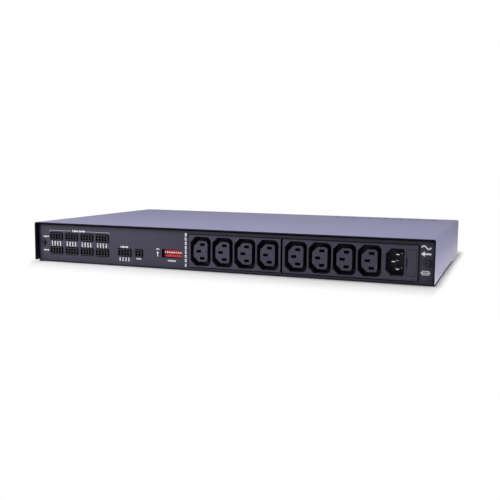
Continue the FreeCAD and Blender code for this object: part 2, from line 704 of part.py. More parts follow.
def switch_body():
    """The switch bank's housing, with a slot for each knob."""
    body = bar_block(SWITCH_X, SWITCH_W, SWITCH_FACE, BOARD_FACE, SWITCH_Z, SWITCH_H)
    slot_h = KNOB_H + KNOB_TRAVEL + 2 * KNOB_PLAY
    floor = SWITCH_FACE + KNOB_DEEP + KNOB_PLAY
    slot_w = KNOB_W + 2 * KNOB_PLAY
    return body.cut([bar_block(x, slot_w, SWITCH_FACE, floor, SWITCH_Z, slot_h) for x in knob_places()])


def switch_knob(x):
    """A knob at the upper end of its slot."""
    z = SWITCH_Z + KNOB_TRAVEL / 2
    return bar_block(x, KNOB_W, SWITCH_FACE - KNOB_PROUD, SWITCH_FACE + KNOB_DEEP, z, KNOB_H)


def bracket_places():
    """X of the two angles that hold the terminal board upright."""
    return [(COLUMN_X[0] + COLUMN_X[1]) / 2, (PAIR_X + SWITCH_X) / 2]


def bracket_screw_places():
    return [(V(x, BOARD_FACE, BRACKET_SCREW_Z), V(0, 1, 0)) for x in bracket_places()]


def board_brackets():
    """Angles on the base behind the terminal board."""
    angles = []
    for x, (seat, direction) in zip(bracket_places(), bracket_screw_places()):
        upright = block(x - BRACKET_W / 2, x + BRACKET_W / 2, BOARD_BACK, BOARD_BACK + SHEET,
                        SHEET, BRACKET_SCREW_Z + BRACKET_PAST)
        foot = block(x - BRACKET_W / 2, x + BRACKET_W / 2, BOARD_BACK, BOARD_BACK + BRACKET_FOOT,
                     SHEET, 2 * SHEET)
        hole = rod(SCREW_R, SCREW_LENGTH, seat, direction)
        angles.append(joined([upright, foot]).cut(hole))
    return Part.makeCompound(angles)


def terminal_board():
    """The upright board that carries the headers and the switch bank."""
    board = block(BOARD_LEFT, BOARD_RIGHT, BOARD_FACE, BOARD_BACK, BOARD_LOW, BOARD_HIGH)
    holes = [rod(SCREW_R + SCREW_HOLE_PLAY, BOARD, seat, direction)
             for seat, direction in bracket_screw_places()]
    return board.cut(holes)


def standoff_places():
    """X and Y of the main board's standoffs."""
    left, right = BOARD_LEFT + STANDOFF_INSET, STRIP_TWO_END - STANDOFF_INSET
    far = MAIN_FAR - STANDOFF_INSET
    middle = STRIP_ONE_X - STANDOFF_INSET
    near = STRIP_BACK + LONG_TAIL + RELAY_BACK + RELAY_L + STANDOFF_INSET
    return [(left, near), (left, far), (middle, near), (middle, far), (right, near), (right, far)]


def main_board():
    """The level board behind the mouldings, stepped back to clear them."""
    wide = block(BOARD_LEFT, STRIP_TWO_END, MAIN_STEP, MAIN_FAR, MAIN_UNDER, MAIN_TOP)
    near = block(BOARD_LEFT, BOARD_RIGHT, MAIN_NEAR, MAIN_STEP, MAIN_UNDER, MAIN_TOP)
    cuts = [rod(SCREW_R + SCREW_HOLE_PLAY, BOARD, V(x, y, MAIN_UNDER), V(0, 0, 1))
            for x, y in standoff_places()]
    for x in bracket_places():
        cuts.append(block(x - BRACKET_W / 2 - BOARD_PLAY, x + BRACKET_W / 2 + BOARD_PLAY, MAIN_NEAR,
                          BOARD_BACK + SHEET + BOARD_PLAY, MAIN_UNDER, MAIN_TOP))
    return joined([wide, near]).cut(cuts)


def standoffs():
    posts = []
    for x, y in standoff_places():
        post = hexagon(STANDOFF_R, STANDOFF_H, V(x, y, SHEET))
        posts.append(post.cut(rod(SCREW_R, STANDOFF_H, V(x, y, SHEET), V(0, 0, 1))))
    return Part.makeCompound(posts)


def board_screws():
    places = [(V(x, y, MAIN_TOP), V(0, 0, -1)) for x, y in standoff_places()]
    return Part.makeCompound([board_screw(*place) for place in places + bracket_screw_places()])


def panel_screws():
    return Part.makeCompound([case_screw(*place) for place in case_screw_places()])


def link_places():
    return [LINK_X + (i - (LINK_WAYS - 1) / 2) * LINK_PITCH for i in range(LINK_WAYS)]


def link_strip():
    """The right-angle strip that joins the two boards."""
    half = LINK_WAYS * LINK_PITCH / 2
    strip = block(LINK_X - half, LINK_X + half, BOARD_BACK, BOARD_BACK + LINK_SIDE,
                  MAIN_TOP, MAIN_TOP + LINK_SIDE)
    z = MAIN_TOP + LINK_SIDE / 2
    return strip.cut([bar_block(x, LINK_PIN, BOARD_BACK, BOARD_BACK + LINK_SIDE, z, LINK_PIN)
                      for x in link_places()])


def link_pins():
    z = MAIN_TOP + LINK_SIDE / 2
    end = BOARD_BACK + LINK_SIDE + LINK_REACH
    pins = []
    for x in link_places():
        level = bar_block(x, LINK_PIN, BOARD_BACK, end, z, LINK_PIN)
        down = block(x - LINK_PIN / 2, x + LINK_PIN / 2, end - LINK_PIN, end, MAIN_TOP, z)
        pins.append(joined([level, down]))
    return Part.makeCompound(pins)


def board_case(x, near, width, length, height):
    """A moulded case on the main board, bevelled round its top."""
    case = block(x - width / 2, x + width / 2, near, near + length, MAIN_TOP, MAIN_TOP + height)
    top = [e for e in case.Edges if e.BoundBox.ZMin > MAIN_TOP + height / 2]
    return case.makeChamfer(CASE_EDGE, top)


def relay(x):
    return board_case(x, STRIP_BACK + LONG_TAIL + RELAY_BACK, RELAY_W, RELAY_L, RELAY_H)


def logic_supply():
    middle = (COLUMN_X[1] + COLUMN_X[2]) / 2
    return board_case(middle, BOARD_BACK + SUPPLY_BACK, SUPPLY_W, SUPPLY_L, SUPPLY_H)


def controller_chip():
    near = BOARD_BACK + CHIP_BACK
    return block(LINK_X - CHIP_SIDE / 2, LINK_X + CHIP_SIDE / 2, near, near + CHIP_SIDE,
                 MAIN_TOP, MAIN_TOP + CHIP_H)


def pieces():
    """Every piece of the unit by name."""
    live, _, earth = inlet_poles()
    found = {
        "chassis_tray": chassis_tray(),
        "top_cover": top_cover(),
        "panel_screws": panel_screws(),
        "outlet_strip": outlet_strip(),
        "inlet_strip": inlet_strip(),
        "line_contacts": line_contacts(),
        "neutral_bar_1": neutral_bar(OUTLET_ONE),
        "neutral_bar_2": neutral_bar(OUTLET_TWO),
        "earth_bar_1": earth_bar_1(),
        "earth_bar_2": earth_bar_2(),
        "earth_stud": earth_stud(),
        "earth_nut": earth_nut(),
        "inlet_line_pin": inlet_pin(*live),
        "inlet_neutral_pin": inlet_neutral_pin(),
        "inlet_earth_pin": inlet_pin(*earth),
        "fuse_drawer": fuse_drawer(),
        "fuse_tube": fuse_tube(),
        "fuse_caps": fuse_caps(),
        "fuse_clip_in": fuse_clip_in(),
        "fuse_clip_out": fuse_clip_out(),
        "terminal_board": terminal_board(),
        "board_brackets": board_brackets(),
        "header_pins": header_pins(),
        "switch_body": switch_body(),
        "main_board": main_board(),
        "standoffs": standoffs(),
        "board_screws": board_screws(),
        "link_strip": link_strip(),
        "link_pins": link_pins(),
        "logic_supply": logic_supply(),
        "controller_chip": controller_chip(),
    }
    for name, x, z, ways in header_places():
        found[name] = header(x, z, ways)
    for i, x in enumerate(knob_places()):
        found[f"switch_knob_{i + 1}"] = switch_knob(x)
    for i, x in enumerate(OUTLET_ONE + OUTLET_TWO):
        found[f"relay_{i + 1}"] = relay(x)
    return found


os.makedirs("parts", exist_ok=True)
for name, shape in pieces().items():
    shape.exportStep(f"parts/{name}.step")
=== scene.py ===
"""Looks of the rack power unit: paint, mouldings, metals, panel print, camera and studio light."""
import math

import bmesh
import bpy
from mathutils import Matrix, Vector


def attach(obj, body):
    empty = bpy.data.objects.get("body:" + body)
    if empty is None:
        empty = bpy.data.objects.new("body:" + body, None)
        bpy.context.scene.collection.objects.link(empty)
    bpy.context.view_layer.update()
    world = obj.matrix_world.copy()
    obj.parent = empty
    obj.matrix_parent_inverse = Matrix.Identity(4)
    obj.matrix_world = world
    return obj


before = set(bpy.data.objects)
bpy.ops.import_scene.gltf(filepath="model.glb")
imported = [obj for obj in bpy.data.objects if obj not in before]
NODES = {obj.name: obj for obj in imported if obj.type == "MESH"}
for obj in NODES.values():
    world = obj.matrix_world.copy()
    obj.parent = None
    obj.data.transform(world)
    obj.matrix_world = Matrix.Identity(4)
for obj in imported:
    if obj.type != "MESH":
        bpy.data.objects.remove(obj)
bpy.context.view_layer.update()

MM = 0.001

# Camera at the photograph's viewing angle, for a square picture: metres, radians and millimetres of lens
CAMERA_AT = (0.28218, -0.80317, 0.10921)
CAMERA_TURN = 0.3497
CAMERA_DOWN = 0.1168
CAMERA_ROLL = 0.0112
CAMERA_LENS = 52.45
SENSOR = 36.0
CLIP_START = 0.01

# Box of the part and the face that the print lies on, millimetres
HALF_WIDTH = 215.9
HALF_DEPTH = 132.0
HEIGHT = 43.7
PANEL_FACE = -126.7

# Cover: depth of the painted skin, and the two long bends by their centre in from each face and the radius
# between their inside and their outside, millimetres
SKIN = 0.03
BEND_IN = 2.0
BEND_MIDDLE = 1.4

# Places on the connector panel, across (X) and up, millimetres
COLUMN_X = (-191.5, -172.3, -153.1, -133.9)
PIN_STEP = 3.5
PIN_COUNT = 4
CONTROL_X = -106.5
SENSOR_X = -89.4
SWITCH_X = -50.7
ARROW_X = -67.0
ARROW_TAIL = 12.8
ARROW_TIP = 18.5
SIGN_X = 207.0
INLET_SIGN = 32.2
FUSE_SIGN = 12.1

# Print: thickness of the ink, how much bolder than the plain figures, and the bracket's line, millimetres
INK_THICK = 0.04
BOLD = 0.055
BRACKET_LINE = 0.45
BRACKET_LEFT = ((-199.8, 33.4), (-199.8, 34.9), (-172.6, 34.9))
BRACKET_RIGHT = ((-153.2, 34.9), (-125.1, 34.9), (-125.1, 33.4))

# Figures on the panel: text, middle across and up, length, height, and whether they read upwards
FIGURES = (
    ("1234 5678", -162.8, 35.0, 16.0, 2.0, False),
    ("1234", -204.7, 27.8, 6.6, 1.6, False),
    ("5678", -204.7, 12.8, 6.6, 1.6, False),
    ("12345", CONTROL_X, 20.7, 9.4, 1.8, False),
    ("123", SENSOR_X, 9.1, 5.4, 1.7, False),
    ("ON", ARROW_X, 20.5, 3.4, 1.7, False),
    ("12345678", SWITCH_X, 9.0, 9.2, 1.8, False),
    ("01 02 03 04 05 06 07 08", -34.8, 21.2, 35.0, 2.4, True),
)

# Upright pin numbers between the header rows and under the control header: height up, length and height
ROW_MARKS = (20.6, 5.2, 1.5)
CONTROL_MARKS = (7.7, 4.3, 1.4)

# Inlet pins by their middle across and up, the floor of their recess, and the shoulder at each pin's root,
# millimetres
INLET_PINS = ((181.0, 27.7), (181.0, 13.7), (177.0, 20.7))
INLET_FLOOR = -111.0
SHOULDER_SIZE = (1.2, 3.0, 1.6)
SHOULDER_ASIDE = 2.6
SHOULDER_ROUND = 0.4

# Floor: how far the shadow shows in metres, how much sooner it ends to the sides and ahead of the left end,
# the share of plain white close to the box, and the floor's reach and depth under the rest face in metres
FLOOR_FADE = 0.064
SIDE_WEIGHT = 7.0
LEFT_TAPER = 0.6
WHITE_NEAR = 0.05
FLOOR_REACH = 30.0
FLOOR_DROP = 0.0002

# Light: level of the even world light, and the softboxes with metres, watts and degrees
WORLD_LEVEL = 0.32
COOL_LIGHT = (0.97, 0.97, 1.0)
WARM_LIGHT = (1.0, 0.95, 0.58)
SKY_LIGHT = (0.91, 0.96, 1.0)
NO_GRID = 180.0
SOFTBOXES = (
    {"name": "overhead", "at": (0.10, -0.15, 0.50), "aim": (0.10, -0.12, 0.0), "size": (0.5, 0.2),
     "power": 1.27, "colour": COOL_LIGHT, "opening": NO_GRID},
    {"name": "front_left", "at": (-0.45, -0.60, 0.30), "aim": (-0.15, -0.13, 0.02), "size": (0.3, 0.3),
     "power": 5.2, "colour": COOL_LIGHT, "opening": NO_GRID},
    {"name": "right_low", "at": (0.60, -0.06, 0.02), "aim": (0.216, -0.06, 0.0), "size": (0.40, 0.03),
     "power": 0.058, "colour": WARM_LIGHT, "opening": 10.0},
    {"name": "right_high", "at": (0.55, -0.14, 0.08), "aim": (0.216, -0.10, 0.03), "size": (0.10, 0.10),
     "power": 0.62, "colour": SKY_LIGHT, "opening": NO_GRID},
)

# Colours as they are written on the shaders, linear: a light shade and a deep one of each
# The cover's lavender is partly its paint and partly a painted cool sheen of grazing light.
LAVENDER = (0.216, 0.209, 0.334)
LAVENDER_DEEP = (0.203, 0.196, 0.315)
CHARCOAL = (0.038, 0.036, 0.051)
CHARCOAL_DEEP = (0.033, 0.031, 0.045)
# Near-black of the cover's cut edges and inner faces: partly its dark paint, partly painted shade.
EDGE_FLECK = (0.007, 0.007, 0.010)
EDGE_BLACK = (0.004, 0.004, 0.006)
SCREW_BLACK = (0.014, 0.014, 0.017)
SCREW_DEEP = (0.009, 0.009, 0.011)
MOULDING = (0.045, 0.043, 0.062)
MOULDING_DEEP = (0.039, 0.037, 0.054)
HEADER_DARK = (0.024, 0.023, 0.030)
HEADER_DEEP = (0.019, 0.019, 0.024)
# Brass kept dark, partly painted shade for the contacts deep in their slots.
BRASS = (0.30, 0.20, 0.08)
BRASS_DEEP = (0.20, 0.13, 0.05)
DULL_TIN = (0.055, 0.055, 0.055)
DULL_TIN_DEEP = (0.035, 0.035, 0.035)
BRIGHT = (0.86, 0.85, 0.82)
BRIGHT_DEEP = (0.70, 0.69, 0.67)
STEEL = (0.50, 0.50, 0.51)
STEEL_DEEP = (0.36, 0.36, 0.37)
RED = (0.64, 0.036, 0.036)
RED_DEEP = (0.55, 0.028, 0.029)
KNOB_WHITE = (0.78, 0.76, 0.72)
KNOB_DEEP = (0.68, 0.66, 0.62)
RELAY_BLUE = (0.030, 0.060, 0.150)
RELAY_DEEP = (0.022, 0.046, 0.120)
CHIP_BLACK = (0.016, 0.016, 0.017)
CHIP_DEEP = (0.011, 0.011, 0.012)
BOARD_GREEN = (0.012, 0.075, 0.038)
BOARD_DEEP = (0.010, 0.060, 0.030)
GLASS = (0.90, 0.94, 0.93)
GLASS_DEEP = (0.80, 0.86, 0.84)
INK_WHITE = (0.74, 0.73, 0.76)
INK_WHITE_DEEP = (0.64, 0.63, 0.67)
INK_GREY = (0.30, 0.29, 0.34)
INK_GREY_DEEP = (0.24, 0.23, 0.28)
COOL_SHEEN = (0.80, 0.79, 1.0)
WORLD_TINT = (0.96, 0.96, 1.0)
WHITE = (1.0, 1.0, 1.0)
FLOOR_PALE = (0.70, 0.70, 0.70)

# Span that most of a noise lies in
NOISE_LOW = 0.3
NOISE_HIGH = 0.7

# How far roughness swings on mouldings and on metals, and the scale of its blotches as a share of the grain's
MATT_SWING = 0.06
METAL_SWING = 0.07
BLOTCH_SHARE = 0.3

# Stretch of a noise for lines along the depth of the part and along its width
LINES_IN_DEPTH = (1.0, 0.05, 1.0)
LINES_IN_WIDTH = (0.1, 1.0, 1.0)


def rgba(colour):
    return (*colour, 1.0)


def new_material(name):
    """An empty node material with its output and a principled shader."""
    material = bpy.data.materials.new(name + "_finish")
    material.use_nodes = True
    tree = material.node_tree
    tree.nodes.clear()
    output = tree.nodes.new("ShaderNodeOutputMaterial")
    shader = tree.nodes.new("ShaderNodeBsdfPrincipled")
    tree.links.new(shader.outputs["BSDF"], output.inputs["Surface"])
    return material, tree, shader


def place(tree):
    """Coordinates of the part's own frame, in metres."""
    return tree.nodes.new("ShaderNodeTexCoord").outputs["Object"]


def noise(tree, scale, detail=2.0, roughness=0.5, stretch=None):
    """Noise at a scale per metre, drawn out along an axis where stretch is given."""
    node = tree.nodes.new("ShaderNodeTexNoise")
    node.inputs["Scale"].default_value = scale
    node.inputs["Detail"].default_value = detail
    node.inputs["Roughness"].default_value = roughness
    source = place(tree)
    if stretch:
        mapping = tree.nodes.new("ShaderNodeMapping")
        mapping.inputs["Scale"].default_value = stretch
        tree.links.new(source, mapping.inputs["Vector"])
        source = mapping.outputs["Vector"]
    tree.links.new(source, node.inputs["Vector"])
    return node.outputs["Fac"]


def shades(tree, factor, deep, light, low=NOISE_LOW, high=NOISE_HIGH):
    """Colour that goes from deep to light as the factor goes from low to high."""
    node = tree.nodes.new("ShaderNodeValToRGB")
    for element, position, colour in zip(node.color_ramp.elements, (low, high), (deep, light)):
        element.position = position
        element.color = rgba(colour)
    tree.links.new(factor, node.inputs["Fac"])
    return node.outputs["Color"]


def spread(tree, factor, low, high):
    """The usual span of a noise carried over to the span low to high."""
    node = tree.nodes.new("ShaderNodeMapRange")
    node.inputs["From Min"].default_value = NOISE_LOW
    node.inputs["From Max"].default_value = NOISE_HIGH
    node.inputs["To Min"].default_value = low
    node.inputs["To Max"].default_value = high
    tree.links.new(factor, node.inputs["Value"])
    return node.outputs["Result"]


def mixed(tree, factor, first, second):
    """Colour mix of two sockets."""
    node = tree.nodes.new("ShaderNodeMix")
    node.data_type = "RGBA"
    tree.links.new(factor, node.inputs["Factor"])
    tree.links.new(first, node.inputs["A"])
    tree.links.new(second, node.inputs["B"])
    return node.outputs["Result"]


def math_node(tree, operation, *operands):
    """Math node whose operands are sockets or plain numbers."""
    node = tree.nodes.new("ShaderNodeMath")
    node.operation = operation
    for socket, operand in zip(node.inputs, operands):
        if isinstance(operand, (int, float)):
            socket.default_value = operand
        else:
            tree.links.new(operand, socket)
    return node.outputs["Value"]


def length_of(tree, first, second):
    """Length of the diagonal over two sockets."""
    squares = [math_node(tree, "MULTIPLY", side, side) for side in (first, second)]
    return math_node(tree, "SQRT", math_node(tree, "ADD", *squares))


def surface(tree, shader, height, strength, distance, edge):
    """Relief from a height socket over edges rounded by the given radius in metres."""
    bevel = tree.nodes.new("ShaderNodeBevel")
    bevel.samples = 4
    bevel.inputs["Radius"].default_value = edge
    bump = tree.nodes.new("ShaderNodeBump")
    bump.inputs["Strength"].default_value = strength
    bump.inputs["Distance"].default_value = distance
    tree.links.new(height, bump.inputs["Height"])
    tree.links.new(bevel.outputs["Normal"], bump.inputs["Normal"])
    tree.links.new(bump.outputs["Normal"], shader.inputs["Normal"])


def painted_crease_shade(tree, colour, reach):
    """A colour darkened by painted shade in creases and gaps, as far as the reach in metres."""
    painted_shade = tree.nodes.new("ShaderNodeAmbientOcclusion")
    painted_shade.samples = 8
    painted_shade.inputs["Distance"].default_value = reach
    tree.links.new(colour, painted_shade.inputs["Color"])
    return painted_shade.outputs["Color"]


def sheen(shader, level):
    """Strength of the reflection, which is slightly cool."""
    shader.inputs["Specular IOR Level"].default_value = level
    shader.inputs["Specular Tint"].default_value = rgba(COOL_SHEEN)


def skin_mask(tree):
    """1 on the outside of the box, 0 on cut edges ahead and behind and on the inside of the sheet, where the
    near-black is partly painted shade.
    """
    axes = tree.nodes.new("ShaderNodeSeparateXYZ")
    tree.links.new(place(tree), axes.inputs["Vector"])
    across = math_node(tree, "ABSOLUTE", axes.outputs["X"])
    along = math_node(tree, "ABSOLUTE", axes.outputs["Y"])
    side = math_node(tree, "GREATER_THAN", across, (HALF_WIDTH - SKIN) * MM)
    top = math_node(tree, "GREATER_THAN", axes.outputs["Z"], (HEIGHT - SKIN) * MM)
    bend = bend_mask(tree, across, axes.outputs["Z"])
    outside = math_node(tree, "MAXIMUM", math_node(tree, "MAXIMUM", side, top), bend)
    clear = math_node(tree, "LESS_THAN", along, (HALF_DEPTH - SKIN) * MM)
    return math_node(tree, "MULTIPLY", outside, clear)


def bend_mask(tree, across, height):
    """1 on the outside of the two long bends."""
    beyond = math_node(tree, "SUBTRACT", across, (HALF_WIDTH - BEND_IN) * MM)
    above = math_node(tree, "SUBTRACT", height, (HEIGHT - BEND_IN) * MM)
    beyond = math_node(tree, "MAXIMUM", beyond, 0.0)
    above = math_node(tree, "MAXIMUM", above, 0.0)
    return math_node(tree, "GREATER_THAN", length_of(tree, beyond, above), BEND_MIDDLE * MM)


def cover_paint():
    """Satin lavender-grey paint outside, partly a painted cool grazing sheen; black edges and inside, partly
    painted shade; fine orange peel.
    """
    material, tree, shader = new_material("cover_paint")
    paint = shades(tree, noise(tree, scale=9.0, detail=3.0), LAVENDER_DEEP, LAVENDER)
    # Cut edges and inner faces take near-black, partly painted shade.
    dark = shades(tree, noise(tree, scale=2600.0, detail=1.0), EDGE_BLACK, EDGE_FLECK, high=0.8)
    tree.links.new(mixed(tree, skin_mask(tree), dark, paint), shader.inputs["Base Color"])
    uneven = spread(tree, noise(tree, scale=900.0), low=0.52, high=0.58)
    tree.links.new(uneven, shader.inputs["Roughness"])
    sheen(shader, level=0.10)
    surface(tree, shader, noise(tree, scale=1800.0), strength=0.10, distance=0.0002, edge=0.0004)
    return material


def textured(name, light, deep, rough, grain, relief, edge=0.0002, painted_shade=0.004, level=0.4):
    """Fine-grained surface: slow clouds of two shades, painted shade in creases, a fine grain and soft edges.
    """
    material, tree, shader = new_material(name)
    colour = shades(tree, noise(tree, scale=14.0, detail=3.0), deep, light)
    tree.links.new(painted_crease_shade(tree, colour, painted_shade), shader.inputs["Base Color"])
    blotch = noise(tree, scale=grain * BLOTCH_SHARE, detail=3.0)
    uneven = spread(tree, blotch, rough - MATT_SWING, rough + MATT_SWING)
    tree.links.new(uneven, shader.inputs["Roughness"])
    sheen(shader, level)
    surface(tree, shader, noise(tree, grain, roughness=0.6), relief, distance=0.0002, edge=edge)
    return material


def metal(name, light, deep, rough, stretch=None, edge=0.0001):
    """Drawn or stamped metal with faint lines along its length where stretch is given."""
    material, tree, shader = new_material(name)
    line = noise(tree, scale=900.0, detail=3.0, roughness=0.6, stretch=stretch)
    colour = shades(tree, line, deep, light)
    # Painted shade darkens the metal in creases and gaps.
    tree.links.new(painted_crease_shade(tree, colour, reach=0.006), shader.inputs["Base Color"])
    blotch = noise(tree, scale=300.0, detail=3.0)
    uneven = spread(tree, blotch, rough - METAL_SWING, rough + METAL_SWING)
    tree.links.new(uneven, shader.inputs["Roughness"])
    shader.inputs["Metallic"].default_value = 1.0
    surface(tree, shader, line, strength=0.06, distance=0.0001, edge=edge)
    return material


def board_lacquer():
    """Green solder mask with the weave of the laminate just showing."""
    material, tree, shader = new_material("board")
    weave = tree.nodes.new("ShaderNodeTexChecker")
    weave.inputs["Scale"].default_value = 1800.0
    weave.inputs["Color1"].default_value = rgba(BOARD_DEEP)
    weave.inputs["Color2"].default_value = rgba(BOARD_GREEN)
    tree.links.new(place(tree), weave.inputs["Vector"])
    tree.links.new(weave.outputs["Color"], shader.inputs["Base Color"])
    uneven = spread(tree, noise(tree, scale=200.0, detail=3.0), low=0.25, high=0.40)
    tree.links.new(uneven, shader.inputs["Roughness"])
    surface(tree, shader, weave.outputs["Fac"], strength=0.05, distance=0.0001, edge=0.0001)
    return material


def glass():
    """Thin tube glass with a faint streak."""
    material, tree, shader = new_material("fuse_glass")
    streak = noise(tree, scale=500.0, stretch=LINES_IN_WIDTH)
    tree.links.new(shades(tree, streak, GLASS_DEEP, GLASS), shader.inputs["Base Color"])
    tree.links.new(spread(tree, streak, low=0.03, high=0.10), shader.inputs["Roughness"])
    shader.inputs["Transmission Weight"].default_value = 0.9
    shader.inputs["IOR"].default_value = 1.50
    return material


def ink(name, light, deep):
    """Screen print: thin ink with a slightly uneven lay."""
    material, tree, shader = new_material(name)
    lay = shades(tree, noise(tree, scale=900.0, detail=3.0), deep, light, low=0.35, high=0.6)
    tree.links.new(lay, shader.inputs["Base Color"])
    uneven = spread(tree, noise(tree, scale=300.0), low=0.50, high=0.62)
    tree.links.new(uneven, shader.inputs["Roughness"])
    return material


def slot_materials():
    """One material for each material slot of the record."""
    finishes = {"cover_paint": cover_paint(), "board": board_lacquer(), "fuse_glass": glass()}
    # The longer reaches of painted shade in creases darken the panel under the cover's lip on tray_paint and
    # the top of the red switch's body in its recess.
    for name, light, deep, values in (
        ("tray_paint", CHARCOAL, CHARCOAL_DEEP,
         {"rough": 0.50, "grain": 1800.0, "relief": 0.12, "edge": 0.0004, "painted_shade": 0.010, "level": 0.2}),
        ("black_steel", SCREW_BLACK, SCREW_DEEP,
         {"rough": 0.24, "grain": 900.0, "relief": 0.05, "edge": 0.0009}),
        ("black_moulding", MOULDING, MOULDING_DEEP,
         {"rough": 0.46, "grain": 2400.0, "relief": 0.10, "edge": 0.0003, "painted_shade": 0.007, "level": 0.2}),
        ("header_moulding", HEADER_DARK, HEADER_DEEP,
         {"rough": 0.42, "grain": 2000.0, "relief": 0.08, "level": 0.2}),
        ("switch_red", RED, RED_DEEP, {"rough": 0.36, "grain": 1500.0, "relief": 0.05, "painted_shade": 0.005}),
        ("knob_white", KNOB_WHITE, KNOB_DEEP,
         {"rough": 0.38, "grain": 1500.0, "relief": 0.04, "painted_shade": 0.0006}),
        ("relay_case", RELAY_BLUE, RELAY_DEEP, {"rough": 0.36, "grain": 1500.0, "relief": 0.06}),
        ("chip_case", CHIP_BLACK, CHIP_DEEP, {"rough": 0.50, "grain": 2600.0, "relief": 0.08}),
    ):
        finishes[name] = textured(name, light, deep, **values)
    for name, light, deep, values in (
        ("contact_brass", BRASS, BRASS_DEEP, {"rough": 0.40, "stretch": LINES_IN_DEPTH}),
        ("tinned_metal", DULL_TIN, DULL_TIN_DEEP, {"rough": 0.46, "stretch": LINES_IN_DEPTH}),
        ("bright_pin", BRIGHT, BRIGHT_DEEP, {"rough": 0.20, "stretch": LINES_IN_DEPTH, "edge": 0.0003}),
        ("steel", STEEL, STEEL_DEEP, {"rough": 0.38}),
    ):
        finishes[name] = metal(name, light, deep, **values)
    return finishes


def dress_nodes(materials):
    """Each CAD node takes the finish of the record's slot that its plain material is named after."""
    for node in NODES.values():
        for slot in node.material_slots:
            slot.material = materials[slot.material.name.split(".")[0]]


def add_piece(name, data, material):
    """A mesh of the scene's own that rides with the box."""
    data.materials.append(material)
    piece = bpy.data.objects.new(name, data)
    bpy.context.scene.collection.objects.link(piece)
    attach(piece, "unit")
    return piece


class Print:
    """Flat shapes in panel millimetres, gathered into one mesh that lies on a face of the part."""

    def __init__(self, name, material, face):
        self.name = name
        self.material = material
        self.face = face
        self.mesh = bmesh.new()

    def shape(self, outline):
        """One filled outline of (x, z) points."""
        self.mesh.faces.new([self.mesh.verts.new((x, 0.0, z)) for x, z in outline])

    def band(self, points, width, closed=False):
        """A line of even width through the points, mitred at its corners."""
        count = len(points)
        pairs = []
        for i, (x, z) in enumerate(points):
            runs = []
            for j in (i - 1, i):
                if closed or 0 <= j < count - 1:
                    start, end = Vector(points[j % count]), Vector(points[(j + 1) % count])
                    runs.append((end - start).normalized())
            along = sum(runs, Vector((0.0, 0.0))).normalized()
            reach = width / 2 / along.dot(runs[0])
            aside = Vector((-along.y, along.x)) * reach
            pairs.append([self.mesh.verts.new((x + k * aside.x, 0.0, z + k * aside.y)) for k in (-1, 1)])
        for i in range(count if closed else count - 1):
            (a, b), (c, d) = pairs[i], pairs[(i + 1) % count]
            self.mesh.faces.new((a, c, d, b))

    def arrow(self, tail, tip, width, barb, point):
        """A shaft with a pointed head, barb wide and point long."""
        tail, tip = Vector(tail), Vector(tip)
        along = (tip - tail).normalized()
        aside = Vector((-along.y, along.x))
        neck = tip - along * point
        half, wing = aside * width / 2, aside * barb / 2
        self.shape((tail - half, neck - half, neck - wing, tip, neck + wing, neck + half, tail + half))

    def figures(self, text, x, z, length, height, upright):
        """Bold figures of a given length and height centred at (x, z); upright ones read upwards."""
        curve = bpy.data.curves.new("figures", "FONT")
        curve.body = text
        curve.resolution_u = 2
        curve.offset = BOLD
        holder = bpy.data.objects.new("figures", curve)
        bpy.context.scene.collection.objects.link(holder)
        bpy.context.view_layer.update()
        flat = bpy.data.meshes.new_from_object(holder.evaluated_get(bpy.context.evaluated_depsgraph_get()))
        bpy.data.objects.remove(holder)
        bpy.data.curves.remove(curve)
        across = [v.co.x for v in flat.vertices]
        up = [v.co.y for v in flat.vertices]
        size = (length / (max(across) - min(across)), height / (max(up) - min(up)), 1.0)
        middle = Vector(((min(across) + max(across)) / 2, (min(up) + max(up)) / 2, 0.0))
        lay = Matrix.Rotation(math.radians(90.0), 4, "X")
        if upright:
            lay = lay @ Matrix.Rotation(math.radians(90.0), 4, "Z")
        fitted = Matrix.Diagonal((*size, 1.0)) @ Matrix.Translation(-middle)
        flat.transform(Matrix.Translation((x, 0.0, z)) @ lay @ fitted)
        self.mesh.from_mesh(flat)
        bpy.data.meshes.remove(flat)

    def lay(self):
        """Gives the shapes the thickness of the ink and lets them ride with the box."""
        bmesh.ops.triangulate(self.mesh, faces=self.mesh.faces[:])
        for face in self.mesh.faces:
            if face.normal.y > 0.0:
                face.normal_flip()
        made = bmesh.ops.extrude_face_region(self.mesh, geom=self.mesh.faces[:], use_keep_orig=True)
        raised = [part for part in made["geom"] if isinstance(part, bmesh.types.BMVert)]
        bmesh.ops.translate(self.mesh, verts=raised, vec=(0.0, -INK_THICK, 0.0))
        bmesh.ops.recalc_face_normals(self.mesh, faces=self.mesh.faces[:])
        data = bpy.data.meshes.new(self.name)
        self.mesh.to_mesh(data)
        self.mesh.free()
        data.transform(Matrix.Scale(MM, 4) @ Matrix.Translation((0.0, self.face, 0.0)))
        add_piece(self.name, data, self.material)


